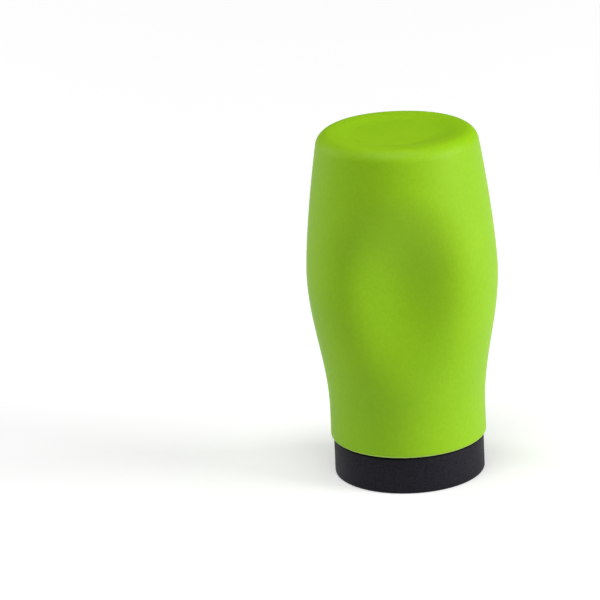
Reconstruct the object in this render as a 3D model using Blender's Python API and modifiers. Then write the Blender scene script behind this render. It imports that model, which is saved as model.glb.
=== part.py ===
"""Head-down squeeze dispenser bottle.

A soft silicone body grips a rigid neck insert. The neck screws into a black base, the cap that
the bottle stands on, and a slit valve in the base lets the contents out when the wall is pressed.
Metres, +Z up, origin at the centre of the standing face, the hollow for the thumb towards -Y.
"""

import math

import bmesh
import bpy

MM = 0.001

# Fits and cuts shared by every piece
fit_gap = 0.3 * MM
cut_overrun = 2.0 * MM
body_segments = 48
closure_segments = 48
fillet_steps = 4

# Base cap
cap_radius = 28.9 * MM
cap_height = 14.1 * MM
cap_wall = 2.0 * MM
cap_foot_width = 2.6 * MM
cap_foot_fillet = 0.7 * MM
cap_rim_fillet = 0.5 * MM
deck_underside = 4.0 * MM
deck_thickness = 1.8 * MM
outlet_radius = 7.5 * MM
boss_wall = 1.8 * MM
boss_lead = 0.6 * MM

# Screw thread between the cap and the neck
thread_pitch = 4.0 * MM
thread_height = 1.3 * MM
thread_crest_gap = 0.5 * MM
thread_sink = 0.4 * MM
thread_end_margin = 0.4 * MM
thread_root_share = 0.55
thread_crest_share = 0.28
thread_fade_share = 0.12

# Slit valve
valve_flange_width = 4.5 * MM
valve_flange_thickness = 1.4 * MM
valve_side_gap = 0.5 * MM
valve_sleeve_wall = 0.7 * MM
valve_recess = 0.6 * MM
valve_head_thickness = 0.7 * MM
valve_slit_reach = 4.2 * MM
petal_count = 4
petal_relief_share = 0.6

# Valve retainer
retainer_height = 2.4 * MM
retainer_width = 2.8 * MM
retainer_bead = 0.35 * MM
retainer_bead_height = 0.8 * MM

# Seal ring
seal_thickness = 1.2 * MM
seal_overlap = 0.3 * MM
seal_fillet = 0.3 * MM

# Neck insert
neck_wall = 2.4 * MM
neck_end_fillet = 0.4 * MM
flange_thickness = 1.8 * MM
barrel_height = 15.4 * MM
barb_height = 0.5 * MM
barb_length = 2.2 * MM
barb_first = 5.0 * MM
barb_spacing = 4.6 * MM
barb_count = 2

# Silicone body, outside
body_height = 136.0 * MM
lip_gap = 0.5 * MM
lip_radius = 30.0 * MM
lip_fillet = 1.4 * MM
lip_wall = 1.4 * MM
waist_radius = 29.9 * MM
waist_above_lip = 10.9 * MM
belly_radius = 36.5 * MM
belly_height = 81.0 * MM
shoulder_radius = 31.0 * MM
shoulder_depth = 5.0 * MM
shoulder_power = 1.45
top_fillet = 5.5 * MM
top_land = 1.4 * MM
dish_depth = 0.9 * MM
dish_slope = 8.5 * MM

# Silicone body, wall
body_wall = 2.5 * MM
mouth_wall = 3.5 * MM
mouth_taper = 8.0 * MM

# Hollow in the front wall that the thumb rests in, shorter above its deepest point than below
hollow_depth = 10.5 * MM
hollow_height = 83.0 * MM
hollow_half_width = 34.0 * MM
hollow_rise = 38.0 * MM
hollow_fall = 48.0 * MM

# Shallow flat in the back wall, under the fingers, that fades out at the top edge
flat_depth = 4.2 * MM
flat_height = 90.0 * MM
flat_half_width = 33.0 * MM
flat_half_height = 62.0 * MM

# Patches of the wall that move when the body is squeezed
panel_half_width = 16.0 * MM
panel_half_height = 25.0 * MM

# Places that follow from the sizes above
cap_bore = cap_radius - cap_wall
deck_top = deck_underside + deck_thickness
neck_crest_radius = cap_bore - thread_crest_gap
neck_core_radius = neck_crest_radius - thread_height
neck_bore = neck_core_radius - neck_wall
seal_bottom = deck_top + fit_gap
seal_top = seal_bottom + seal_thickness
neck_end = seal_top + fit_gap
lip_bottom = cap_height + lip_gap
flange_top = lip_bottom + flange_thickness
flange_radius = lip_radius - lip_wall - fit_gap
barrel_top = lip_bottom + barrel_height
barrel_radius = waist_radius - mouth_wall - fit_gap
waist_height = lip_bottom + waist_above_lip
thread_root_width = thread_root_share * thread_pitch
thread_crest_width = thread_crest_share * thread_pitch
thread_start = neck_end + thread_end_margin + thread_root_width / 2
thread_rise = cap_height - thread_end_margin - thread_root_width / 2 - thread_start
valve_sleeve_radius = outlet_radius - valve_side_gap
valve_flange_radius = valve_sleeve_radius + valve_flange_width
valve_head_bottom = deck_underside + valve_recess
valve_head_top = valve_head_bottom + valve_head_thickness
valve_flange_bottom = deck_top + fit_gap
valve_flange_top = valve_flange_bottom + valve_flange_thickness
boss_bore = valve_flange_radius + fit_gap
boss_radius = boss_bore + boss_wall
retainer_bottom = valve_flange_top + fit_gap
retainer_top = retainer_bottom + retainer_height
retainer_radius = boss_bore - fit_gap
bead_middle = (retainer_bottom + retainer_top) / 2
boss_top = retainer_top + boss_lead


def clear_scene():
    for item in list(bpy.data.objects):
        bpy.data.objects.remove(item)


def new_collection(name):
    collection = bpy.data.collections.new(name)
    bpy.context.scene.collection.children.link(collection)
    return collection


def plastic(name, colour, roughness):
    material = bpy.data.materials.new(name)
    material.use_nodes = True
    shader = material.node_tree.nodes["Principled BSDF"]
    shader.inputs["Base Color"].default_value = (*colour, 1.0)
    shader.inputs["Roughness"].default_value = roughness
    shader.inputs["Metallic"].default_value = 0.0
    return material


clear_scene()
parts = new_collection("squeeze_dispenser_bottle")
cutters = new_collection("cutters")
green_silicone = plastic("green_silicone", (0.287, 0.565, 0.028), 0.55)
black_plastic = plastic("black_plastic", (0.018, 0.019, 0.023), 0.45)
natural_plastic = plastic("natural_plastic", (0.62, 0.64, 0.60), 0.40)
clear_silicone = plastic("clear_silicone", (0.70, 0.72, 0.70), 0.35)
grey_rubber = plastic("grey_rubber", (0.22, 0.22, 0.23), 0.60)


def add_object(name, mesh, material, collection=parts):
    item = bpy.data.objects.new(name, mesh)
    collection.objects.link(item)
    if material is not None:
        item.data.materials.clear()
        item.data.materials.append(material)
    return item


def smooth(item):
    item.data.shade_smooth()
    item.data.set_sharp_from_angle(angle=math.radians(35))


def corner_arc(centre, radius, start, end, steps=fillet_steps):
    """Points of a fillet about centre, from one angle to the other, in degrees from +X."""
    points = []
    for step in range(steps + 1):
        angle = math.radians(start + (end - start) * step / steps)
        points.append((centre[0] + radius * math.cos(angle), centre[1] + radius * math.sin(angle)))
    return points


def turned(name, profile, segments, material, closed=True, collection=parts):
    """A profile of (radius, height) points that runs down its outer side, turned about Z."""
    mesh = bpy.data.meshes.new(name)
    edges = [(index, index + 1) for index in range(len(profile) - 1)]
    if closed:
        edges.append((len(profile) - 1, 0))
    mesh.from_pydata([(radius, 0.0, height) for radius, height in profile], edges, [])
    item = add_object(name, mesh, None, collection)
    screw = item.modifiers.new("turn", "SCREW")
    screw.steps = segments
    screw.render_steps = segments
    screw.use_merge_vertices = True
    screw.merge_threshold = 0.00001
    return as_mesh(item, name, material, collection)


def as_mesh(source, name, material, collection=parts):
    """The evaluated shape of a curve or of a modified object, as a plain welded mesh."""
    graph = bpy.context.evaluated_depsgraph_get()
    mesh = bpy.data.meshes.new_from_object(source.evaluated_get(graph))
    place = source.matrix_world.copy()
    bpy.data.objects.remove(source)
    shape = bmesh.new()
    shape.from_mesh(mesh)
    bmesh.ops.remove_doubles(shape, verts=shape.verts, dist=0.000001)
    bmesh.ops.recalc_face_normals(shape, faces=shape.faces)
    shape.to_mesh(mesh)
    shape.free()
    item = add_object(name, mesh, material, collection)
    item.matrix_world = place
    smooth(item)
    return item


def as_cutter(item):
    item.hide_render = True
    item.display_type = "WIRE"


def combine(item, other, operation):
    """Boolean of item with other, which stays in the cutters' collection."""
    as_cutter(other)
    boolean = item.modifiers.new(operation.lower() + "_" + other.name, "BOOLEAN")
    boolean.operation = operation
    boolean.solver = "EXACT"
    boolean.object = other


def thread_ridge(name, root_radius, reach, start_angle):
    """A right-hand ridge from root_radius that stands reach outwards, or inwards if negative."""
    side = math.copysign(1.0, reach)
    section = bpy.data.curves.new(name + "_section", "CURVE")
    section.dimensions = "2D"
    outline = section.splines.new("POLY")
    corners = [
        (-side * thread_sink, -thread_root_width / 2),
        (reach, -thread_crest_width / 2),
        (reach, thread_crest_width / 2),
        (-side * thread_sink, thread_root_width / 2),
    ]
    outline.points.add(len(corners) - 1)
    for point, (across, along) in zip(outline.points, corners):
        point.co = (across, along, 0.0, 1.0)
    outline.use_cyclic_u = True
    section_object = bpy.data.objects.new(name + "_section", section)
    cutters.objects.link(section_object)
    as_cutter(section_object)

    path = bpy.data.curves.new(name, "CURVE")
    path.dimensions = "3D"
    path.twist_mode = "Z_UP"
    path.bevel_mode = "OBJECT"
    path.bevel_object = section_object
    path.use_fill_caps = True
    path.render_resolution_u = 0
    turns = thread_rise / thread_pitch
    steps = max(12, round(turns * closure_segments))
    helix = path.splines.new("POLY")
    helix.points.add(steps)
    for step, point in enumerate(helix.points):
        share = step / steps
        angle = start_angle + share * turns * 2 * math.pi
        height = thread_start + share * thread_rise
        point.co = (root_radius * math.cos(angle), root_radius * math.sin(angle), height, 1.0)
        point.radius = min(1.0, 0.35 + 0.65 * min(share, 1.0 - share) / thread_fade_share)
    curve_object = bpy.data.objects.new(name, path)
    cutters.objects.link(curve_object)
    return as_mesh(curve_object, name, None, cutters)


def outer_radius(height):
    """Outside radius of the silicone body between its lip and the top fillet."""
    if height <= waist_height:
        flare = (waist_height - height) / waist_above_lip
        return waist_radius + (lip_radius - waist_radius) * flare ** 2
    if height <= belly_height:
        share = (height - waist_height) / (belly_height - waist_height)
        return waist_radius + (belly_radius - waist_radius) * (1 - math.cos(math.pi * share)) / 2
    share = (height - belly_height) / (body_height - shoulder_depth - belly_height)
    return belly_radius - (belly_radius - shoulder_radius) * share ** shoulder_power


def wall_at(height):
    """Wall of the silicone body: thick where it grips the neck, thin above it."""
    share = min(1.0, max(0.0, (height - barrel_top) / mouth_taper))
    return mouth_wall + (body_wall - mouth_wall) * share


def make_base_cap():
    """Black cap: skirt, deck with the outlet, boss for the valve, and thread inside the skirt."""
    foot_bore = cap_radius - cap_foot_width
    profile = corner_arc((cap_radius - cap_rim_fillet, cap_height - cap_rim_fillet), cap_rim_fillet, 90, 0)
    profile += corner_arc((cap_radius - cap_foot_fillet, cap_foot_fillet), cap_foot_fillet, 0, -90)
    profile += [
        (foot_bore, 0.0),
        (foot_bore, deck_underside),
        (outlet_radius, deck_underside),
        (outlet_radius, deck_top),
        (boss_bore, deck_top),
        (boss_bore, bead_middle - retainer_bead_height),
        (boss_bore + retainer_bead, bead_middle - retainer_bead_height / 2),
        (boss_bore + retainer_bead, bead_middle + retainer_bead_height / 2),
        (boss_bore, bead_middle + retainer_bead_height),
        (boss_bore, boss_top),
        (boss_radius, boss_top),
        (boss_radius, deck_top),
        (cap_bore, deck_top),
        (cap_bore, cap_height - cap_rim_fillet),
        (cap_bore + cap_rim_fillet, cap_height),
    ]
    cap = turned("base_cap", profile, closure_segments, black_plastic)
    ridge = thread_ridge("cap_thread", cap_bore, -thread_height, math.pi)
    combine(cap, ridge, "UNION")
    return cap


def make_valve_body():
    """Silicone valve: flange on the deck, sleeve down through the outlet, head with the opening."""
    profile = [
        (0.0, valve_head_top),
        (valve_sleeve_radius - valve_sleeve_wall, valve_head_top),
        (valve_sleeve_radius - valve_sleeve_wall, valve_flange_top),
        (valve_flange_radius, valve_flange_top),
        (valve_flange_radius, valve_flange_bottom),
        (valve_sleeve_radius, valve_flange_bottom),
        (valve_sleeve_radius, valve_head_bottom),
        (0.0, valve_head_bottom),
    ]
    valve = turned("valve_body", profile, closure_segments, clear_silicone, closed=False)
    opening = bpy.data.meshes.new("slit_opening")
    shape = bmesh.new()
    bmesh.ops.create_cone(
        shape,
        cap_ends=True,
        segments=petal_count,
        radius1=valve_slit_reach,
        radius2=valve_slit_reach,
        depth=valve_head_thickness + 2 * cut_overrun,
    )
    shape.to_mesh(opening)
    shape.free()
    cutter = add_object("slit_opening", opening, None, cutters)
    cutter.location.z = valve_head_bottom + valve_head_thickness / 2
    combine(valve, cutter, "DIFFERENCE")
    return valve


def make_petals():
    """The flaps between the slits, each with its origin on its hinge line at the outlet side."""
    half_sector = math.pi / petal_count
    chord_distance = valve_slit_reach * math.cos(half_sector)
    slit_half = fit_gap / 2
    tip = slit_half / math.sin(half_sector)
    root = chord_distance - fit_gap
    relief = petal_relief_share * valve_head_thickness
    root_half = root * math.tan(half_sector) - slit_half / math.cos(half_sector) - relief
    petals = []
    for index in range(petal_count):
        outline = bpy.data.curves.new("petal_outline", "CURVE")
        outline.dimensions = "2D"
        outline.fill_mode = "BOTH"
        outline.extrude = valve_head_thickness / 2
        edge = outline.splines.new("POLY")
        corners = [(tip, 0.0), (root, -root_half), (root, root_half)]
        edge.points.add(len(corners) - 1)
        for point, (out, across) in zip(edge.points, corners):
            point.co = (out - chord_distance, across, 0.0, 1.0)
        edge.use_cyclic_u = True
        source = bpy.data.objects.new("petal_outline", outline)
        cutters.objects.link(source)
        petal = as_mesh(source, "valve_petal_%d" % (index + 1), clear_silicone)
        for vertex in petal.data.vertices:
            vertex.co.z += valve_head_thickness / 2
        angle = half_sector * (2 * index + 1)
        petal.location = (
            chord_distance * math.cos(angle),
            chord_distance * math.sin(angle),
            valve_head_bottom,
        )
        petal.rotation_euler.z = angle
        petals.append(petal)
    return petals


def make_valve_retainer():
    """Snap ring that holds the valve's flange on the deck, with a bead in the boss's groove."""
    profile = [
        (retainer_radius - retainer_width, retainer_top),
        (retainer_radius, retainer_top),
        (retainer_radius, bead_middle + retainer_bead_height / 2),
        (retainer_radius + retainer_bead, bead_middle + retainer_bead_height / 4),
        (retainer_radius + retainer_bead, bead_middle - retainer_bead_height / 4),
        (retainer_radius, bead_middle - retainer_bead_height / 2),
        (retainer_radius, retainer_bottom),
        (retainer_radius - retainer_width, retainer_bottom),
    ]
    return turned("valve_retainer", profile, closure_segments, natural_plastic)


def make_seal_ring():
    """Flat gasket on the deck, under the end of the neck."""
    inner = neck_bore - seal_overlap
    outer = neck_core_radius + seal_overlap
    profile = corner_arc((outer - seal_fillet, seal_top - seal_fillet), seal_fillet, 90, 0, 1)
    profile += corner_arc((outer - seal_fillet, seal_bottom + seal_fillet), seal_fillet, 0, -90, 1)
    profile += corner_arc((inner + seal_fillet, seal_bottom + seal_fillet), seal_fillet, -90, -180, 1)
    profile += corner_arc((inner + seal_fillet, seal_top - seal_fillet), seal_fillet, 180, 90, 1)
    return turned("seal_ring", profile, closure_segments, grey_rubber)


def barb_rings():
    """Heights of the barbs' sharp edges on the barrel, top one first."""
    return [lip_bottom + barb_first + barb_spacing * index for index in reversed(range(barb_count))]


def make_neck_insert():
    """Rigid ring: threaded neck below, flange at the lip, barbed barrel inside the silicone."""
    profile = [(neck_bore, barrel_top), (barrel_radius - barb_height, barrel_top)]
    for edge in barb_rings():
        profile += [
            (barrel_radius - barb_height, edge + barb_length),
            (barrel_radius, edge),
            (barrel_radius - barb_height, edge),
        ]
    profile += [
        (barrel_radius - barb_height, flange_top),
        (flange_radius, flange_top),
        (flange_radius, lip_bottom),
        (neck_core_radius, lip_bottom),
    ]
    profile += corner_arc(
        (neck_core_radius - neck_end_fillet, neck_end + neck_end_fillet), neck_end_fillet, 0, -90, 2
    )
    profile += [(neck_bore, neck_end)]
    neck = turned("neck_insert", profile, closure_segments, natural_plastic)
    ridge = thread_ridge("neck_thread", neck_core_radius, thread_height, 0.0)
    combine(neck, ridge, "UNION")
    return neck


def body_profile():
    """Outside of the silicone body from the middle of its top to its lip, then the inside back."""
    fillet_middle = body_height - top_fillet
    lean = math.degrees(
        math.atan2(outer_radius(fillet_middle - top_fillet) - outer_radius(fillet_middle), top_fillet)
    )
    fillet_start = fillet_middle + top_fillet * math.sin(math.radians(lean))
    fillet_radius = outer_radius(fillet_start) - top_fillet * math.cos(math.radians(lean))
    land_radius = fillet_radius - top_land
    dish_radius = land_radius - dish_slope

    def dish(radius):
        share = min(1.0, max(0.0, (land_radius - radius) / dish_slope))
        return body_height - dish_depth * (1 - math.cos(math.pi * share)) / 2

    slope_shares = [step / 4 for step in range(5)]
    top = [(0.0, dish(0.0))]
    top += [(dish_radius + dish_slope * share, dish(dish_radius + dish_slope * share)) for share in slope_shares]
    outside = corner_arc((fillet_radius, fillet_middle), top_fillet, 90, lean, 5)
    steps_above = 9
    steps_below = 10
    for step in range(1, steps_above + 1):
        height = fillet_start + (belly_height - fillet_start) * step / steps_above
        outside.append((outer_radius(height), height))
    for step in range(1, steps_below + 1):
        height = belly_height + (waist_height - belly_height) * step / steps_below
        outside.append((outer_radius(height), height))
    lip_middle = lip_bottom + lip_fillet
    outside.append((outer_radius((waist_height + lip_middle) / 2), (waist_height + lip_middle) / 2))
    outside += corner_arc((outer_radius(lip_middle) - lip_fillet, lip_middle), lip_fillet, 0, -90, 3)

    groove = flange_radius + fit_gap
    mouth = [(groove, lip_bottom), (groove, flange_top + fit_gap)]
    barrel_bore = barrel_radius + fit_gap
    mouth.append((barrel_bore - barb_height, flange_top + fit_gap))
    for edge in reversed(barb_rings()):
        mouth += [
            (barrel_bore - barb_height, edge - fit_gap),
            (barrel_bore, edge - fit_gap),
            (barrel_bore - barb_height, edge + barb_length),
        ]
    mouth.append((barrel_bore - barb_height, barrel_top))

    inside = []
    steps_inside = 12
    for step in range(1, steps_inside + 1):
        height = barrel_top + (fillet_middle - barrel_top) * step / steps_inside
        inside.append((outer_radius(height) - wall_at(height), height))
    ceiling_radius = inside[-1][0] - (top_fillet - body_wall)
    inside += corner_arc((ceiling_radius, fillet_middle), top_fillet - body_wall, 0, 90, 2)[1:]
    inside += [
        (land_radius, body_height - body_wall),
        (dish_radius, dish(0.0) - body_wall),
        (0.0, dish(0.0) - body_wall),
    ]
    return top + outside + mouth + inside


def soft_bump(across, along):
    """1 in the middle of an ellipse, 0 at its edge and outside, smooth between."""
    reach = min(1.0, math.hypot(across, along))
    return math.cos(math.pi / 2 * reach) ** 2


def drawn_in(place):
    """A point of the turned body, moved towards the middle where the wall is hollowed."""
    if place.y < 0:
        half_height = hollow_rise if place.z > hollow_height else hollow_fall
        bump = soft_bump(place.x / hollow_half_width, (place.z - hollow_height) / half_height)
        push = hollow_depth * bump
    else:
        bump = soft_bump(place.x / flat_half_width, (place.z - flat_height) / flat_half_height)
        push = flat_depth * bump
    return place.y * (1 - push / outer_radius(place.z))


def make_wall():
    """The whole silicone body as one turned moulding, hollowed at the front and eased at the back."""
    wall = turned("squeeze_shell", body_profile(), body_segments, green_silicone, closed=False)
    for vertex in wall.data.vertices:
        vertex.co.y = drawn_in(vertex.co)
    return wall


def panel_prism(name, half_width, half_height, side):
    """An elliptical prism along Y through the front (-1) or back (+1) wall."""
    mesh = bpy.data.meshes.new(name)
    shape = bmesh.new()
    bmesh.ops.create_cone(
        shape,
        cap_ends=True,
        segments=32,
        radius1=1.0,
        radius2=1.0,
        depth=belly_radius + cut_overrun,
    )
    bmesh.ops.scale(shape, vec=(half_width, half_height, 1.0), verts=shape.verts)
    shape.to_mesh(mesh)
    shape.free()
    prism = add_object(name, mesh, None, cutters)
    prism.rotation_euler.x = math.pi / 2
    prism.location = (0.0, side * (belly_radius + cut_overrun) / 2, hollow_height)
    as_cutter(prism)
    return prism


def make_body():
    """The silicone body, and the two patches of its wall that move when it is squeezed."""
    wall = make_wall()
    panels = []
    for name, side in (("thumb_panel", -1.0), ("finger_panel", 1.0)):
        panel = add_object(name, wall.data.copy(), green_silicone)
        smooth(panel)
        window = panel_prism(name + "_window", panel_half_width, panel_half_height, side)
        patch = panel_prism(name + "_patch", panel_half_width - fit_gap, panel_half_height - fit_gap, side)
        combine(wall, window, "DIFFERENCE")
        combine(panel, patch, "INTERSECT")
        panels.append(panel)
    return wall, panels


def axis_empty(name):
    empty = bpy.data.objects.new(name, None)
    parts.objects.link(empty)
    return empty


base_axis = axis_empty("base_axis")
bottle_axis = axis_empty("bottle_axis")
bottle_axis.parent = base_axis
for piece in [make_base_cap(), make_valve_body(), make_valve_retainer(), *make_petals()]:
    piece.parent = base_axis
for piece in [make_seal_ring(), make_neck_insert()]:
    piece.parent = bottle_axis
shell, pressed_panels = make_body()
for piece in [shell, *pressed_panels]:
    piece.parent = bottle_axis
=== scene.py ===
import math

import bmesh
import bpy
from mathutils import Matrix, Vector


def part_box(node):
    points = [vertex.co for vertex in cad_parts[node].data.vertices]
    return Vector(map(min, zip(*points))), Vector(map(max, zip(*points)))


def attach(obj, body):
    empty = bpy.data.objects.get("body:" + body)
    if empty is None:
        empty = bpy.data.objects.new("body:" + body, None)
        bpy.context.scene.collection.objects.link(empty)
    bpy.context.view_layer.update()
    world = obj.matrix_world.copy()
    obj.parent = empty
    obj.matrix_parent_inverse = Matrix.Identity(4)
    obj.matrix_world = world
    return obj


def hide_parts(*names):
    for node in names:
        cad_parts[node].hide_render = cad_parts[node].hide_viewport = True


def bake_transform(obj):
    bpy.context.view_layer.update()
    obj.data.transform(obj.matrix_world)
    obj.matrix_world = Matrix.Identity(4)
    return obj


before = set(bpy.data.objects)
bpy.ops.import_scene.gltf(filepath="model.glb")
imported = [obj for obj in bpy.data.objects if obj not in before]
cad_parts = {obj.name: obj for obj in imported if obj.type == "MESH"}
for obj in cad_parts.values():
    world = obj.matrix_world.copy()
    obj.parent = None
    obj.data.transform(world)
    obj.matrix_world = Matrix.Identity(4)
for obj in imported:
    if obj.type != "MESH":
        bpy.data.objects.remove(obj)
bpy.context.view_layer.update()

mm = 0.001

# Base cap
# The bottle stands on this screw cap: one moulding in black polypropylene with a satin skirt, a
# rounded foot and rim, a deck with the outlet in its middle, and a thread inside the skirt.
cap_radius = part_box("base_cap")[1].x
cap_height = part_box("base_cap")[1].z
cap_wall = 2.0 * mm
cap_bore = cap_radius - cap_wall
cap_foot_width = 2.6 * mm
cap_foot_bore = cap_radius - cap_foot_width
cap_foot_fillet = 0.7 * mm
cap_rim_fillet = 0.5 * mm
deck_underside = 4.0 * mm
deck_top = 5.8 * mm
outlet_radius = 7.5 * mm
boss_bore = 11.8 * mm
boss_radius = 13.6 * mm
boss_top = 10.8 * mm
bead_height = 9.0 * mm
bead_half = 0.8 * mm
bead_depth = 0.35 * mm
turning_segments = 192
cap_fillet_steps = 6
moulding_crease = 30


def arc(centre, radius, start, end, steps):
    """Points of a fillet about centre, from one angle to the other, in degrees from outwards."""
    points = []
    for step in range(steps + 1):
        angle = math.radians(start + (end - start) * step / steps)
        points.append((centre[0] + radius * math.cos(angle), centre[1] + radius * math.sin(angle)))
    return points


def turned(name, outline, segments, closed):
    """A moulding turned about the bottle's axis from (radius, height) points, outer side downwards."""
    mesh = bpy.data.meshes.new(name)
    shape = bmesh.new()
    rings = []
    for radius, height in outline:
        count = segments if radius > 0 else 1
        angles = [2 * math.pi * index / segments for index in range(count)]
        rings.append([shape.verts.new((radius * math.cos(a), radius * math.sin(a), height)) for a in angles])
    pairs = list(zip(rings, rings[1:]))
    if closed:
        pairs.append((rings[-1], rings[0]))
    for upper, lower in pairs:
        for index in range(segments):
            after = (index + 1) % segments
            corners = [upper[index % len(upper)], lower[index % len(lower)]]
            corners += [lower[after % len(lower)], upper[after % len(upper)]]
            shape.faces.new(list(dict.fromkeys(corners)))
    shape.to_mesh(mesh)
    shape.free()
    item = bpy.data.objects.new(name, mesh)
    bpy.context.scene.collection.objects.link(item)
    return item


def softened(item, crease):
    """Smooth shading that keeps corners sharper than the crease, in degrees, crisp."""
    item.data.shade_smooth()
    item.data.set_sharp_from_angle(angle=math.radians(crease))


def colour(code):
    """A colour written as sRGB hex, turned to the linear values that a shader takes."""
    channels = [int(code[start:start + 2], 16) / 255 for start in (1, 3, 5)]
    linear = [c / 12.92 if c <= 0.04045 else ((c + 0.055) / 1.055) ** 2.4 for c in channels]
    return (*linear, 1.0)


def add_node(tree, kind, inputs=None, **settings):
    """A node with its settings, and its inputs set to values or linked to other nodes' outputs."""
    made = tree.nodes.new(kind)
    for key, value in settings.items():
        setattr(made, key, value)
    for key, value in (inputs or {}).items():
        if isinstance(value, bpy.types.NodeSocket):
            tree.links.new(value, made.inputs[key])
        else:
            made.inputs[key].default_value = value
    return made


def new_material(name, finish):
    """A material whose principled shader has the given constant values."""
    material = bpy.data.materials.new(name)
    material.use_nodes = True
    shader = material.node_tree.nodes["Principled BSDF"]
    for key, value in finish.items():
        shader.inputs[key].default_value = value
    return material, material.node_tree, shader


# A Mix node has several sockets of one name, so its factor, its two colours and the colour that it
# gives go by number.
mix_factor = 0
first_colour = 6
second_colour = 7
mixed_colour = 2

# Black polypropylene from a finely eroded mould: the eye sees a satin blue-black with a dry, lightly
# speckled grain, a little shinier where it has been handled. The real grain is about 0.1 mm, too
# fine to show, so it is drawn at 0.7 mm.
grain_size = 0.7 * mm
handling_size = 9.0 * mm
grain_relief = 0.08 * mm
roughness = (0.56, 0.62)
noise_low = 0.3
noise_high = 0.7
black_plastic, tree, shader = new_material("satin_moulded_black_polypropylene", {
    "IOR": 1.49, "Specular IOR Level": 0.16})
place = add_node(tree, "ShaderNodeTexCoord").outputs["Object"]
grain = add_node(tree, "ShaderNodeTexNoise", {"Vector": place, "Scale": 1 / grain_size, "Detail": 2.0})
handling = add_node(tree, "ShaderNodeTexNoise", {"Vector": place, "Scale": 1 / handling_size, "Detail": 3.0})
speckle = add_node(tree, "ShaderNodeMapRange", {
    "Value": grain.outputs[0], "From Min": noise_low, "From Max": noise_high,
    "To Min": 0.0, "To Max": 1.0})
tones = add_node(tree, "ShaderNodeMix", {
    mix_factor: speckle.outputs[0], first_colour: colour("#101017"),
    second_colour: colour("#20202A")}, data_type="RGBA")
gloss = add_node(tree, "ShaderNodeMapRange", {
    "Value": handling.outputs[0], "From Min": noise_low, "From Max": noise_high,
    "To Min": roughness[0], "To Max": roughness[1]})
relief = add_node(tree, "ShaderNodeBump", {
    "Strength": 0.8, "Distance": grain_relief, "Height": grain.outputs[0]})
tree.links.new(tones.outputs[mixed_colour], shader.inputs["Base Color"])
tree.links.new(gloss.outputs[0], shader.inputs["Roughness"])
tree.links.new(relief.outputs[0], shader.inputs["Normal"])

rim_middle = (cap_radius - cap_rim_fillet, cap_height - cap_rim_fillet)
foot_middle = (cap_radius - cap_foot_fillet, cap_foot_fillet)
outline = arc(rim_middle, cap_rim_fillet, 90, 0, cap_fillet_steps)
outline += arc(foot_middle, cap_foot_fillet, 0, -90, cap_fillet_steps)
outline += [
    (cap_foot_bore, 0.0),
    (cap_foot_bore, deck_underside),
    (outlet_radius, deck_underside),
    (outlet_radius, deck_top),
    (boss_bore, deck_top),
    (boss_bore, bead_height - bead_half),
    (boss_bore + bead_depth, bead_height - bead_half / 2),
    (boss_bore + bead_depth, bead_height + bead_half / 2),
    (boss_bore, bead_height + bead_half),
    (boss_bore, boss_top),
    (boss_radius, boss_top),
    (boss_radius, deck_top),
    (cap_bore, deck_top),
    (cap_bore, cap_height - cap_rim_fillet),
    (cap_bore + cap_rim_fillet, cap_height),
]
base_cap = turned("base_cap_moulding", outline, turning_segments, closed=True)

# The thread is one right-hand ridge of trapezoid section that follows a helix up the wall and
# thins out at both ends, as it leaves the mould. Cap and neck have the same one, facing each other.
thread_pitch = 4.0 * mm
thread_rise = 3.5 * mm
thread_start = 9.1 * mm
thread_height = 1.3 * mm
thread_root_width = 2.2 * mm
thread_crest_width = 1.12 * mm
thread_sink = 0.4 * mm
thread_fade_share = 0.12
thread_end_size = 0.35
thread_steps_a_turn = 96


def new_geometry_tree(name, inputs):
    """A Geometry Nodes tree that changes a mesh, with named number inputs and a material input."""
    made = bpy.data.node_groups.new(name, "GeometryNodeTree")
    made.interface.new_socket("Geometry", in_out="OUTPUT", socket_type="NodeSocketGeometry")
    made.interface.new_socket("Geometry", in_out="INPUT", socket_type="NodeSocketGeometry")
    for key in inputs:
        made.interface.new_socket(key, in_out="INPUT", socket_type="NodeSocketFloat")
    made.interface.new_socket("Material", in_out="INPUT", socket_type="NodeSocketMaterial")
    return made, made.nodes.new("NodeGroupInput").outputs


def finish_geometry_tree(made, geometry, material):
    """The end of every tree: real geometry, with its material, at the group's output."""
    real = add_node(made, "GeometryNodeRealizeInstances", {0: geometry})
    coated = add_node(made, "GeometryNodeSetMaterial", {"Geometry": real.outputs[0], "Material": material})
    add_node(made, "NodeGroupOutput", {0: coated.outputs[0]})


def apply_tree(item, made, values):
    """Runs the tree on item with the given input values and keeps the result as a plain mesh."""
    modifier = item.modifiers.new(made.name, "NODES")
    modifier.node_group = made
    for socket in made.interface.items_tree:
        if socket.in_out == "INPUT" and socket.name in values:
            modifier[socket.identifier] = values[socket.name]
    evaluated = item.evaluated_get(bpy.context.evaluated_depsgraph_get())
    item.data = bpy.data.meshes.new_from_object(evaluated)
    item.modifiers.remove(modifier)


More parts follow.
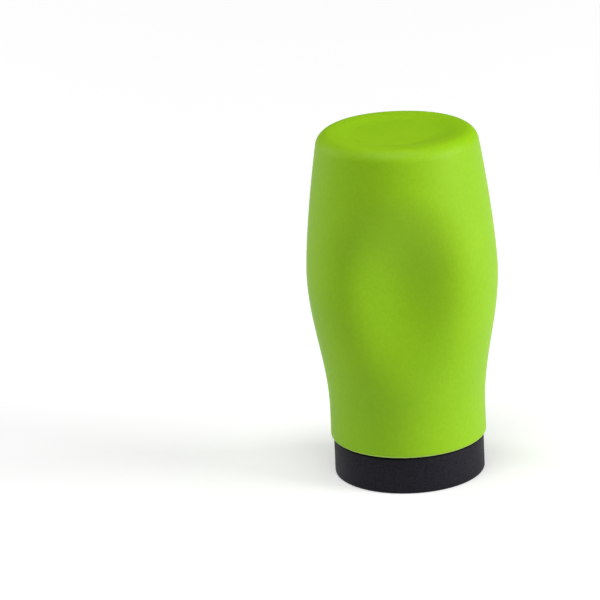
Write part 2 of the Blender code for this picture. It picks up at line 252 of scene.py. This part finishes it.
thread_inputs = ["Wall Radius", "Reach", "Sink", "Pitch", "Rise", "Start Height", "Start Angle"]
thread_inputs += ["Root Width", "Crest Width", "Fade Share"]
thread_tree, given = new_geometry_tree("screw_thread", thread_inputs)
turns = add_node(thread_tree, "ShaderNodeMath", {0: given["Rise"], 1: given["Pitch"]}, operation="DIVIDE")
helix = add_node(thread_tree, "GeometryNodeCurveSpiral", {
    "Resolution": thread_steps_a_turn, "Rotations": turns.outputs[0], "Start Radius": given["Wall Radius"],
    "End Radius": given["Wall Radius"], "Height": given["Rise"], "Reverse": True})
upright = add_node(thread_tree, "GeometryNodeSetCurveNormal", {0: helix.outputs[0]}, mode="Z_UP")
along = add_node(thread_tree, "GeometryNodeSplineParameter").outputs["Factor"]
to_end = add_node(thread_tree, "ShaderNodeMath", {0: 1.0, 1: along}, operation="SUBTRACT")
nearest = add_node(thread_tree, "ShaderNodeMath", {0: along, 1: to_end.outputs[0]}, operation="MINIMUM")
swell = add_node(thread_tree, "ShaderNodeMapRange", {
    "Value": nearest.outputs[0], "From Min": 0.0, "From Max": given["Fade Share"],
    "To Min": thread_end_size, "To Max": 1.0})
faded = add_node(thread_tree, "GeometryNodeSetCurveRadius", {
    "Curve": upright.outputs[0], "Radius": swell.outputs[0]})
start_turn = add_node(thread_tree, "ShaderNodeCombineXYZ", {"Z": given["Start Angle"]})
start_lift = add_node(thread_tree, "ShaderNodeCombineXYZ", {"Z": given["Start Height"]})
placed = add_node(thread_tree, "GeometryNodeTransform", {
    "Geometry": faded.outputs[0], "Rotation": start_turn.outputs[0], "Translation": start_lift.outputs[0]})
side = add_node(thread_tree, "ShaderNodeMath", {0: given["Reach"]}, operation="SIGN")
sunk = add_node(thread_tree, "ShaderNodeMath", {0: side.outputs[0], 1: given["Sink"]}, operation="MULTIPLY")
depth = add_node(thread_tree, "ShaderNodeMath", {0: given["Reach"], 1: sunk.outputs[0]}, operation="ADD")
height = add_node(thread_tree, "ShaderNodeMath", {0: depth.outputs[0]}, operation="ABSOLUTE")
middle = add_node(thread_tree, "ShaderNodeMath", {
    0: given["Reach"], 1: sunk.outputs[0]}, operation="SUBTRACT")
middle = add_node(thread_tree, "ShaderNodeMath", {0: middle.outputs[0], 1: 0.5}, operation="MULTIPLY")
lean = add_node(thread_tree, "ShaderNodeMath", {0: side.outputs[0], 1: -math.pi / 2}, operation="MULTIPLY")
section = add_node(thread_tree, "GeometryNodeCurvePrimitiveQuadrilateral", {
    "Bottom Width": given["Root Width"], "Top Width": given["Crest Width"], "Height": height.outputs[0],
    "Offset": 0.0}, mode="TRAPEZOID")
section_turn = add_node(thread_tree, "ShaderNodeCombineXYZ", {"Z": lean.outputs[0]})
section_move = add_node(thread_tree, "ShaderNodeCombineXYZ", {"X": middle.outputs[0]})
section = add_node(thread_tree, "GeometryNodeTransform", {
    "Geometry": section.outputs[0], "Rotation": section_turn.outputs[0],
    "Translation": section_move.outputs[0]})
ridge = add_node(thread_tree, "GeometryNodeCurveToMesh", {
    "Curve": placed.outputs[0], "Profile Curve": section.outputs[0], "Fill Caps": True})
joined = add_node(thread_tree, "GeometryNodeMeshBoolean", operation="UNION", solver="EXACT")
thread_tree.links.new(ridge.outputs[0], joined.inputs["Mesh 2"])
thread_tree.links.new(given["Geometry"], joined.inputs["Mesh 2"])
finish_geometry_tree(thread_tree, joined.outputs[0], given["Material"])
thread_values = {
    "Sink": thread_sink, "Pitch": thread_pitch, "Rise": thread_rise, "Start Height": thread_start,
    "Root Width": thread_root_width, "Crest Width": thread_crest_width,
    "Fade Share": thread_fade_share}

apply_tree(base_cap, thread_tree, {
    **thread_values, "Wall Radius": cap_bore, "Reach": -thread_height, "Start Angle": math.pi,
    "Material": black_plastic})
softened(base_cap, moulding_crease)
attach(base_cap, "base")
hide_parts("base_cap")

# Slit valve and its four flaps
# A thin disc of clear silicone with a cross slit, moulded with the sleeve and flange that hold it
# in the outlet. The four flaps stay shut under the contents' weight and open when the wall is pressed.
# Clear silicone from a polished mould: milky and see-through at the edges, with a soft wet gloss.
haze_size = 1.5 * mm
roughness = (0.26, 0.36)
clear_silicone, tree, shader = new_material("clear_moulded_silicone", {
    "IOR": 1.43, "Transmission Weight": 0.35, "Sheen Weight": 0.1})
place = add_node(tree, "ShaderNodeTexCoord").outputs["Object"]
haze = add_node(tree, "ShaderNodeTexNoise", {"Vector": place, "Scale": 1 / haze_size, "Detail": 2.0})
tones = add_node(tree, "ShaderNodeMix", {
    mix_factor: haze.outputs[0], first_colour: colour("#DDE0DC"),
    second_colour: colour("#EEF0EC")}, data_type="RGBA")
gloss = add_node(tree, "ShaderNodeMapRange", {
    "Value": haze.outputs[0], "From Min": noise_low, "From Max": noise_high,
    "To Min": roughness[0], "To Max": roughness[1]})
tree.links.new(tones.outputs[mixed_colour], shader.inputs["Base Color"])
tree.links.new(gloss.outputs[0], shader.inputs["Roughness"])


def coat(node_name, material):
    """Gives a CAD node its material."""
    node_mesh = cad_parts[node_name].data
    node_mesh.materials.clear()
    node_mesh.materials.append(material)


petal_count = 4
for node_name in ["valve_body"] + ["valve_petal_%d" % (index + 1) for index in range(petal_count)]:
    coat(node_name, clear_silicone)

# Snap ring over the valve
# A stiff ring of natural polypropylene with a small bead, pushed into the boss to hold the valve's
# flange on the deck. It is left uncoloured, as the neck insert is.
# Natural polypropylene, as moulded: a waxy off-white that lets some light in, with a dull shine.
cloud_size = 4.0 * mm
fine_size = 0.5 * mm
fine_relief = 0.02 * mm
scatter_depth = 0.8 * mm
roughness = (0.36, 0.44)
natural_plastic, tree, shader = new_material("natural_moulded_polypropylene", {
    "IOR": 1.49, "Subsurface Weight": 0.15, "Subsurface Radius": (1.0, 1.0, 0.9),
    "Subsurface Scale": scatter_depth})
place = add_node(tree, "ShaderNodeTexCoord").outputs["Object"]
cloud = add_node(tree, "ShaderNodeTexNoise", {"Vector": place, "Scale": 1 / cloud_size, "Detail": 2.0})
fine = add_node(tree, "ShaderNodeTexNoise", {"Vector": place, "Scale": 1 / fine_size, "Detail": 1.0})
tones = add_node(tree, "ShaderNodeMix", {
    mix_factor: cloud.outputs[0], first_colour: colour("#D6D7D0"),
    second_colour: colour("#E2E3DD")}, data_type="RGBA")
gloss = add_node(tree, "ShaderNodeMapRange", {
    "Value": cloud.outputs[0], "From Min": noise_low, "From Max": noise_high,
    "To Min": roughness[0], "To Max": roughness[1]})
relief = add_node(tree, "ShaderNodeBump", {
    "Strength": 0.15, "Distance": fine_relief, "Height": fine.outputs[0]})
tree.links.new(tones.outputs[mixed_colour], shader.inputs["Base Color"])
tree.links.new(gloss.outputs[0], shader.inputs["Roughness"])
tree.links.new(relief.outputs[0], shader.inputs["Normal"])
coat("valve_retainer", natural_plastic)

# Seal ring
# A flat gasket of grey rubber that lies on the deck under the end of the neck and is squeezed
# there when the base is screwed home.
# Grey rubber, cut from moulded sheet: dull, slightly powdery, with a fine tooth.
tooth_size = 0.3 * mm
roughness = (0.62, 0.72)
grey_rubber, tree, shader = new_material("moulded_grey_rubber", {"IOR": 1.52, "Sheen Weight": 0.15})
place = add_node(tree, "ShaderNodeTexCoord").outputs["Object"]
tooth = add_node(tree, "ShaderNodeTexNoise", {"Vector": place, "Scale": 1 / tooth_size, "Detail": 2.0})
tones = add_node(tree, "ShaderNodeMix", {
    mix_factor: tooth.outputs[0], first_colour: colour("#66676A"),
    second_colour: colour("#74757A")}, data_type="RGBA")
gloss = add_node(tree, "ShaderNodeMapRange", {
    "Value": tooth.outputs[0], "From Min": noise_low, "From Max": noise_high,
    "To Min": roughness[0], "To Max": roughness[1]})
tree.links.new(tones.outputs[mixed_colour], shader.inputs["Base Color"])
tree.links.new(gloss.outputs[0], shader.inputs["Roughness"])
coat("seal_ring", grey_rubber)

# Neck insert
# A stiff ring that the silicone is stretched over: a threaded neck below, a flange that closes
# the body's lip, and a barrel above with two barbs that keep the soft wall from creeping off.
neck_bore = 22.7 * mm
neck_core_radius = 25.1 * mm
neck_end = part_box("neck_insert")[0].z
neck_end_fillet = 0.4 * mm
lip_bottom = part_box("squeeze_shell")[0].z
flange_thickness = 1.8 * mm
flange_top = lip_bottom + flange_thickness
flange_radius = 28.3 * mm
barrel_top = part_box("neck_insert")[1].z
barrel_radius = 26.1 * mm
barb_height = 0.5 * mm
barb_length = 2.2 * mm
barb_first = 5.0 * mm
barb_spacing = 4.6 * mm
barb_count = 2
barb_edges = [lip_bottom + barb_first + barb_spacing * index for index in range(barb_count)]
neck_end_steps = 4

outline = [(neck_bore, barrel_top), (barrel_radius - barb_height, barrel_top)]
for edge in reversed(barb_edges):
    outline += [
        (barrel_radius - barb_height, edge + barb_length),
        (barrel_radius, edge),
        (barrel_radius - barb_height, edge),
    ]
outline += [
    (barrel_radius - barb_height, flange_top),
    (flange_radius, flange_top),
    (flange_radius, lip_bottom),
    (neck_core_radius, lip_bottom),
]
end_middle = (neck_core_radius - neck_end_fillet, neck_end + neck_end_fillet)
outline += arc(end_middle, neck_end_fillet, 0, -90, neck_end_steps)
outline += [(neck_bore, neck_end)]
neck = turned("threaded_neck", outline, turning_segments, closed=True)
apply_tree(neck, thread_tree, {
    **thread_values, "Wall Radius": neck_core_radius, "Reach": thread_height, "Start Angle": 0.0,
    "Material": natural_plastic})
softened(neck, moulding_crease)
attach(neck, "bottle")
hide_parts("neck_insert")

# Silicone body
# One soft moulding in green silicone, closed at the top with a shallow dish and open at the
# bottom, where its rounded lip stands on the base. Its outline swells from the waist to the belly
# and leans in to the shoulder. A broad hollow draws in the front, and a long shallow flat the back.
body_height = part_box("squeeze_shell")[1].z
belly_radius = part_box("squeeze_shell")[1].x
belly_height = 81.0 * mm
waist_radius = 29.9 * mm
waist_above_lip = 10.9 * mm
waist_height = lip_bottom + waist_above_lip
lip_radius = 30.0 * mm
lip_fillet = 1.4 * mm
shoulder_radius = 31.0 * mm
shoulder_depth = 5.0 * mm
shoulder_height = body_height - shoulder_depth
shoulder_power = 1.45
top_fillet = 5.5 * mm
top_land = 1.4 * mm
dish_depth = 0.9 * mm
dish_slope = 8.5 * mm
body_wall = 2.5 * mm
mouth_wall = 3.5 * mm
mouth_taper = 8.0 * mm
fit_gap = 0.3 * mm
hollow_depth = 10.5 * mm
hollow_height = sum(corner.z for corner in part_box("thumb_panel")) / 2
hollow_half_width = 34.0 * mm
hollow_rise = 38.0 * mm
hollow_fall = 48.0 * mm
flat_depth = 4.2 * mm
flat_height = 90.0 * mm
flat_half_width = 33.0 * mm
flat_half_height = 62.0 * mm
facet_ease = 0.0035
dish_floor_shares = (0.25, 0.5, 0.75, 0.9)
dish_slope_steps = 16
top_fillet_steps = 16
wall_steps = 96
lip_fillet_steps = 8
inner_wall_steps = 40
ceiling_fillet_steps = 6
soft_crease = 50


def outer_radius(height):
    """Outside radius of the body: flared to the lip, waisted, round at the belly, leaning in above."""
    if height <= waist_height:
        share = (waist_height - height) / (waist_height - lip_bottom)
        return waist_radius + (lip_radius - waist_radius) * share ** 2
    if height <= belly_height:
        share = (height - waist_height) / (belly_height - waist_height)
        return waist_radius + (belly_radius - waist_radius) * (1 - math.cos(math.pi * share)) / 2
    share = (height - belly_height) / (shoulder_height - belly_height)
    return belly_radius - (belly_radius - shoulder_radius) * share ** shoulder_power


def evenly(start, end, steps):
    """The heights after start on the way to end, in equal steps."""
    return [start + (end - start) * step / steps for step in range(1, steps + 1)]


fillet_middle = body_height - top_fillet
lean_angle = math.atan2(outer_radius(fillet_middle - top_fillet) - outer_radius(fillet_middle), top_fillet)
fillet_start = fillet_middle + top_fillet * math.sin(lean_angle)
fillet_radius = outer_radius(fillet_start) - top_fillet * math.cos(lean_angle)
land_radius = fillet_radius - top_land
dish_radius = land_radius - dish_slope
dish_floor = body_height - dish_depth

outline = [(0.0, dish_floor)]
outline += [(dish_radius * share, dish_floor) for share in dish_floor_shares]
for step in range(dish_slope_steps + 1):
    share = step / dish_slope_steps
    drop = dish_depth * (1 + math.cos(math.pi * share)) / 2
    outline.append((dish_radius + dish_slope * share, body_height - drop))
lean_degrees = math.degrees(lean_angle)
outline += arc((fillet_radius, fillet_middle), top_fillet, 90, lean_degrees, top_fillet_steps)
outline += [(outer_radius(z), z) for z in evenly(fillet_start, lip_bottom + lip_fillet, wall_steps)]
lip_middle = (outer_radius(lip_bottom + lip_fillet) - lip_fillet, lip_bottom + lip_fillet)
outline += arc(lip_middle, lip_fillet, 0, -90, lip_fillet_steps)[1:]
outline += [
    (flange_radius + fit_gap, lip_bottom),
    (flange_radius + fit_gap, flange_top + fit_gap),
    (barrel_radius + fit_gap - barb_height, flange_top + fit_gap),
]
for edge in barb_edges:
    outline += [
        (barrel_radius + fit_gap - barb_height, edge - fit_gap),
        (barrel_radius + fit_gap, edge - fit_gap),
        (barrel_radius + fit_gap - barb_height, edge + barb_length),
    ]
outline.append((barrel_radius + fit_gap - barb_height, barrel_top))
for z in evenly(barrel_top, fillet_middle, inner_wall_steps):
    wall_share = min(1.0, (z - barrel_top) / mouth_taper)
    outline.append((outer_radius(z) - mouth_wall + (mouth_wall - body_wall) * wall_share, z))
ceiling_fillet = top_fillet - body_wall
ceiling_radius = outline[-1][0] - ceiling_fillet
outline += arc((ceiling_radius, fillet_middle), ceiling_fillet, 0, 90, ceiling_fillet_steps)[1:]
outline += [
    (land_radius, body_height - body_wall),
    (dish_radius, dish_floor - body_wall),
    (0.0, dish_floor - body_wall),
]
body = turned("silicone_body", outline, turning_segments, closed=False)
outside = body.data.attributes.new("outside_radius", "FLOAT", "POINT")
for vertex, value in zip(body.data.vertices, outside.data):
    value.value = outer_radius(vertex.co.z)

# Green silicone from a blasted mould: soft-touch and matt, a clear lime that stays even all over,
# with a faint mottle and a fine dry grain. The real grain is about 0.05 mm, drawn here at 0.8 mm.
skin_grain_size = 0.8 * mm
mottle_size = 1.6 * mm
drift_size = 30.0 * mm
skin_relief = 0.08 * mm
# These three sizes place the painted highlight along the lip's lower edge.
lip_highlight_top = 0.9 * mm
lip_highlight_full = 0.3 * mm
lip_highlight_share = 0.8
roughness = (0.50, 0.56)
uneven_low = 0.7
uneven_high = 1.3
green_silicone, tree, shader = new_material("matt_moulded_green_silicone", {
    "IOR": 1.43, "Specular IOR Level": 0.3})
place = add_node(tree, "ShaderNodeTexCoord").outputs["Object"]
skin_grain = add_node(tree, "ShaderNodeTexNoise", {
    "Vector": place, "Scale": 1 / skin_grain_size, "Detail": 2.0})
mottle = add_node(tree, "ShaderNodeTexNoise", {"Vector": place, "Scale": 1 / mottle_size, "Detail": 3.0})
drift = add_node(tree, "ShaderNodeTexNoise", {"Vector": place, "Scale": 1 / drift_size, "Detail": 1.0})
uneven = add_node(tree, "ShaderNodeMath", {0: mottle.outputs[0], 1: drift.outputs[0]}, operation="ADD")
uneven_share = add_node(tree, "ShaderNodeMapRange", {
    "Value": uneven.outputs[0], "From Min": uneven_low, "From Max": uneven_high,
    "To Min": 0.0, "To Max": 1.0})
tones = add_node(tree, "ShaderNodeMix", {
    mix_factor: uneven_share.outputs[0], first_colour: colour("#91C80D"),
    second_colour: colour("#9BCF15")}, data_type="RGBA")
gloss = add_node(tree, "ShaderNodeMapRange", {
    "Value": uneven_share.outputs[0], "From Min": 0.0, "From Max": 1.0,
    "To Min": roughness[0], "To Max": roughness[1]})
relief = add_node(tree, "ShaderNodeBump", {
    "Strength": 0.8, "Distance": skin_relief, "Height": skin_grain.outputs[0]})
# A pale band is painted round the lip's lower edge: a painted highlight where that rounded edge catches
# light.
height = add_node(tree, "ShaderNodeSeparateXYZ", {0: place}).outputs["Z"]
lip_highlight = add_node(tree, "ShaderNodeMapRange", {
    "Value": height, "From Min": lip_bottom + lip_highlight_top, "From Max": lip_bottom + lip_highlight_full,
    "To Min": 0.0, "To Max": lip_highlight_share})
tones = add_node(tree, "ShaderNodeMix", {
    mix_factor: lip_highlight.outputs[0], first_colour: tones.outputs[mixed_colour],
    second_colour: colour("#D2EC8C")}, data_type="RGBA")
tree.links.new(tones.outputs[mixed_colour], shader.inputs["Base Color"])
tree.links.new(gloss.outputs[0], shader.inputs["Roughness"])
tree.links.new(relief.outputs[0], shader.inputs["Normal"])

# How far the wall is drawn in at a point: the depth times a bump that is 1 in the middle of an
# ellipse and fades to 0 at its edge. The ellipse may rise less above its middle than it falls below.
# A Mix node that mixes plain values takes them at these two sockets.
first_value = 2
second_value = 3
push_tree = bpy.data.node_groups.new("drawn_in_ellipse", "GeometryNodeTree")
push_tree.interface.new_socket("Push", in_out="OUTPUT", socket_type="NodeSocketFloat")
for key in ["Depth", "Height", "Half Width", "Rise", "Fall"]:
    push_tree.interface.new_socket(key, in_out="INPUT", socket_type="NodeSocketFloat")
given = push_tree.nodes.new("NodeGroupInput").outputs
point = add_node(push_tree, "ShaderNodeSeparateXYZ", {
    0: add_node(push_tree, "GeometryNodeInputPosition").outputs[0]}).outputs
above = add_node(push_tree, "ShaderNodeMath", {0: point["Z"], 1: given["Height"]}, operation="SUBTRACT")
is_above = add_node(push_tree, "ShaderNodeMath", {0: above.outputs[0], 1: 0.0}, operation="GREATER_THAN")
half_height = add_node(push_tree, "ShaderNodeMix", {
    mix_factor: is_above.outputs[0], first_value: given["Fall"], second_value: given["Rise"]},
    data_type="FLOAT")
across = add_node(push_tree, "ShaderNodeMath", {0: point["X"], 1: given["Half Width"]}, operation="DIVIDE")
along = add_node(push_tree, "ShaderNodeMath", {
    0: above.outputs[0], 1: half_height.outputs[0]}, operation="DIVIDE")
reach = add_node(push_tree, "ShaderNodeCombineXYZ", {"X": across.outputs[0], "Y": along.outputs[0]})
reach = add_node(push_tree, "ShaderNodeVectorMath", {0: reach.outputs[0]}, operation="LENGTH")
reach = add_node(push_tree, "ShaderNodeMath", {0: reach.outputs["Value"], 1: 1.0}, operation="MINIMUM")
angle = add_node(push_tree, "ShaderNodeMath", {0: reach.outputs[0], 1: math.pi / 2}, operation="MULTIPLY")
bump = add_node(push_tree, "ShaderNodeMath", {0: angle.outputs[0]}, operation="COSINE")
bump = add_node(push_tree, "ShaderNodeMath", {0: bump.outputs[0], 1: 2.0}, operation="POWER")
push = add_node(push_tree, "ShaderNodeMath", {0: bump.outputs[0], 1: given["Depth"]}, operation="MULTIPLY")
add_node(push_tree, "NodeGroupOutput", {0: push.outputs[0]})

# The turned wall is drawn in by the hollow where it faces the front, and by the flat at the back.
# Its fine facets would stand about 0.1 mm outside the solid's coarser ones, so the whole wall is
# also made shallower from front to back by a small share, the depth ease.
wall_inputs = ["Hollow Depth", "Hollow Height", "Hollow Half Width", "Hollow Rise", "Hollow Fall"]
wall_inputs += ["Flat Depth", "Flat Height", "Flat Half Width", "Flat Half Height", "Depth Ease"]
wall_tree, given = new_geometry_tree("hollowed_wall", wall_inputs)
hollow = add_node(wall_tree, "GeometryNodeGroup", node_tree=push_tree)
flat = add_node(wall_tree, "GeometryNodeGroup", node_tree=push_tree)
for key in ["Depth", "Height", "Half Width", "Rise", "Fall"]:
    wall_tree.links.new(given["Hollow " + key], hollow.inputs[key])
    flat_key = "Half Height" if key in ("Rise", "Fall") else key
    wall_tree.links.new(given["Flat " + flat_key], flat.inputs[key])
point = add_node(wall_tree, "ShaderNodeSeparateXYZ", {
    0: add_node(wall_tree, "GeometryNodeInputPosition").outputs[0]}).outputs
is_front = add_node(wall_tree, "ShaderNodeMath", {0: point["Y"], 1: 0.0}, operation="LESS_THAN")
push = add_node(wall_tree, "ShaderNodeMix", {
    mix_factor: is_front.outputs[0], first_value: flat.outputs[0], second_value: hollow.outputs[0]},
    data_type="FLOAT")
radius = add_node(wall_tree, "GeometryNodeInputNamedAttribute", {"Name": "outside_radius"}, data_type="FLOAT")
share = add_node(wall_tree, "ShaderNodeMath", {0: push.outputs[0], 1: radius.outputs[0]}, operation="DIVIDE")
eased = add_node(wall_tree, "ShaderNodeMath", {0: share.outputs[0], 1: given["Depth Ease"]}, operation="ADD")
moved = add_node(wall_tree, "ShaderNodeMath", {0: point["Y"], 1: eased.outputs[0]}, operation="MULTIPLY")
inwards = add_node(wall_tree, "ShaderNodeMath", {0: moved.outputs[0], 1: -1.0}, operation="MULTIPLY")
offset = add_node(wall_tree, "ShaderNodeCombineXYZ", {"Y": inwards.outputs[0]})
drawn_wall = add_node(wall_tree, "GeometryNodeSetPosition", {
    "Geometry": given["Geometry"], "Offset": offset.outputs[0]})
finish_geometry_tree(wall_tree, drawn_wall.outputs[0], given["Material"])
apply_tree(body, wall_tree, {
    "Hollow Depth": hollow_depth, "Hollow Height": hollow_height, "Hollow Half Width": hollow_half_width,
    "Hollow Rise": hollow_rise, "Hollow Fall": hollow_fall, "Flat Depth": flat_depth,
    "Flat Height": flat_height, "Flat Half Width": flat_half_width, "Flat Half Height": flat_half_height,
    "Depth Ease": facet_ease, "Material": green_silicone})
softened(body, soft_crease)

# The wall is one moulding, whose front and back move on their own when it is squeezed. It is cut
# in two down its sides, but the halves are not given bodies here. Each half keeps the whole wall's normals,
# so no line shows there.
smooth_normals = body.data.attributes.new("whole_normal", "FLOAT_VECTOR", "CORNER")
for corner_normal, value in zip(body.data.corner_normals, smooth_normals.data):
    value.vector = corner_normal.vector


def half_wall(name, side):
    """The front (-1) or back (+1) half of the body as a closed solid."""
    shape = bmesh.new()
    shape.from_mesh(body.data)
    other_side = [f for f in shape.faces if f.calc_center_median().y * side < 0]
    bmesh.ops.delete(shape, geom=other_side, context="FACES")
    cut = [e for e in shape.edges if e.is_boundary]
    filled = bmesh.ops.edgeloop_fill(shape, edges=cut)
    bmesh.ops.recalc_face_normals(shape, faces=shape.faces)
    bmesh.ops.triangulate(shape, faces=filled["faces"])
    mesh = bpy.data.meshes.new(name)
    shape.to_mesh(mesh)
    shape.free()
    mesh.materials.append(green_silicone)
    normals = [Vector(value.vector) for value in mesh.attributes["whole_normal"].data]
    # The faces that close the cut have no normals from the whole wall, so they get their own.
    for face in mesh.polygons:
        for corner in face.loop_indices:
            if normals[corner].length < 0.5:
                normals[corner] = face.normal.copy()
    mesh.normals_split_custom_set(normals)
    mesh.attributes.remove(mesh.attributes["whole_normal"])
    item = bpy.data.objects.new(name, mesh)
    bpy.context.scene.collection.objects.link(item)
    return item


for name, side, body_name, panel in [
        ("front_silicone_wall", -1, "thumb_wall", "thumb_panel"),
        ("back_silicone_wall", 1, "finger_wall", "finger_panel")]:
    wall = half_wall(name, side)
    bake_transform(wall)
    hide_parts(panel, "squeeze_shell")
bpy.data.objects.remove(body)

# Floor
# A pale sweep of studio paper, matt and even, that keeps the bottle's soft shadow.
# The camera sees the paper lifted to white, as in a catalogue picture, and more so further off,
# where the lamps fade. Reflections and clear parts show it lifted too, but it adds no other light.
floor_half_width = 8.0
near_lift = 0.32
far_lift = 1.0
near_distance = 0.4
far_distance = 3.0
fibre_size = 0.8 * mm
floor_mesh = bpy.data.meshes.new("floor")
floor_mesh.from_pydata(
    [(x * floor_half_width, y * floor_half_width, 0.0) for x, y in ((-1, -1), (1, -1), (1, 1), (-1, 1))],
    [], [(0, 1, 2, 3)])
floor = bpy.data.objects.new("floor", floor_mesh)
bpy.context.scene.collection.objects.link(floor)
paper, tree, shader = new_material("matt_white_paper", {"Roughness": 0.9, "Specular IOR Level": 0.2})
place = add_node(tree, "ShaderNodeTexCoord").outputs["Object"]
fibre = add_node(tree, "ShaderNodeTexNoise", {"Vector": place, "Scale": 1 / fibre_size, "Detail": 2.0})
tones = add_node(tree, "ShaderNodeMix", {
    mix_factor: fibre.outputs[0], first_colour: colour("#EDEDED"),
    second_colour: colour("#F2F2F2")}, data_type="RGBA")
tree.links.new(tones.outputs[mixed_colour], shader.inputs["Base Color"])
rays = add_node(tree, "ShaderNodeLightPath").outputs
seen = add_node(tree, "ShaderNodeMath", {0: rays["Is Camera Ray"], 1: rays["Is Glossy Ray"]}, operation="ADD")
seen = add_node(tree, "ShaderNodeMath", {0: seen.outputs[0], 1: rays["Is Transmission Ray"]}, operation="ADD")
distance = add_node(tree, "ShaderNodeVectorMath", {0: place}, operation="LENGTH").outputs["Value"]
lift = add_node(tree, "ShaderNodeMapRange", {
    "Value": distance, "From Min": near_distance, "From Max": far_distance,
    "To Min": near_lift, "To Max": far_lift})
lift = add_node(tree, "ShaderNodeMath", {0: seen.outputs[0], 1: lift.outputs[0]}, operation="MULTIPLY")
shader.inputs["Emission Color"].default_value = colour("#FFFFFF")
tree.links.new(lift.outputs[0], shader.inputs["Emission Strength"])
floor_mesh.materials.append(paper)

# Camera
# It looks down at the bottle from the front, far off with a long lens, tilted a little, with the
# bottle right of the middle of the frame. The lens is for a square picture 600 pixels wide.
picture_width = 600
focal_length_px = 4135.4
bottle_middle_px = (403.37, 300.55)
camera_elevation = math.radians(18.66)
camera_roll = math.radians(-2.337)
camera_distance = 1.5802
bottle_middle = Vector((0.0, 0.0, body_height / 2))

forward = Vector((0.0, math.cos(camera_elevation), -math.sin(camera_elevation)))
level = Vector((1.0, 0.0, 0.0))
upward = level.cross(forward)
right = level * math.cos(camera_roll) + upward * math.sin(camera_roll)
upward = upward * math.cos(camera_roll) - level * math.sin(camera_roll)
across = (bottle_middle_px[0] - picture_width / 2) / focal_length_px
down = (bottle_middle_px[1] - picture_width / 2) / focal_length_px
aim = (forward - right * across + upward * down).normalized()
right = (right - aim * right.dot(aim)).normalized()
upward = right.cross(aim)
camera_place = Matrix((right, upward, -aim)).transposed().to_4x4()
camera_place.translation = bottle_middle - forward * camera_distance
camera_data = bpy.data.cameras.new("camera")
camera_data.sensor_width = 36.0
camera_data.lens = camera_data.sensor_width * focal_length_px / picture_width
camera_data.clip_end = 20.0
camera = bpy.data.objects.new("camera", camera_data)
camera.matrix_world = camera_place
bpy.context.scene.collection.objects.link(camera)
bpy.context.scene.camera = camera

# Lights
# A large softbox low on the right makes the bright right side, one overhead lights the top and
# draws the soft line along its front edge, and a small one behind on the left lifts the far side.
# A dim white surround fills in the rest.
lamp_distance = 1.9
large_softbox = 1.2
small_softbox = 0.9
surround_strength = 0.05


def softbox(name, bearing, elevation, size, power):
    """A square area lamp aimed at the bottle, at a bearing from the front towards the right."""
    lamp = bpy.data.lights.new(name, "AREA")
    lamp.energy = power
    lamp.size = size
    towards = Vector((0.0, -math.cos(math.radians(elevation)), math.sin(math.radians(elevation))))
    towards.rotate(Matrix.Rotation(math.radians(bearing), 3, "Z"))
    item = bpy.data.objects.new(name, lamp)
    item.location = bottle_middle + towards * lamp_distance
    item.rotation_euler = towards.to_track_quat("Z", "Y").to_euler()
    bpy.context.scene.collection.objects.link(item)


softbox("right_softbox", bearing=76, elevation=22, size=large_softbox, power=30.0)
softbox("overhead_softbox", bearing=-18, elevation=74, size=large_softbox, power=21.5)
softbox("left_softbox", bearing=-112, elevation=20, size=small_softbox, power=9.5)
world = bpy.data.worlds.new("white_surround")
world.use_nodes = True
world.node_tree.nodes["Background"].inputs["Color"].default_value = colour("#FFFFFF")
world.node_tree.nodes["Background"].inputs["Strength"].default_value = surround_strength
bpy.context.scene.world = world
bpy.context.scene.view_settings.view_transform = "Standard"
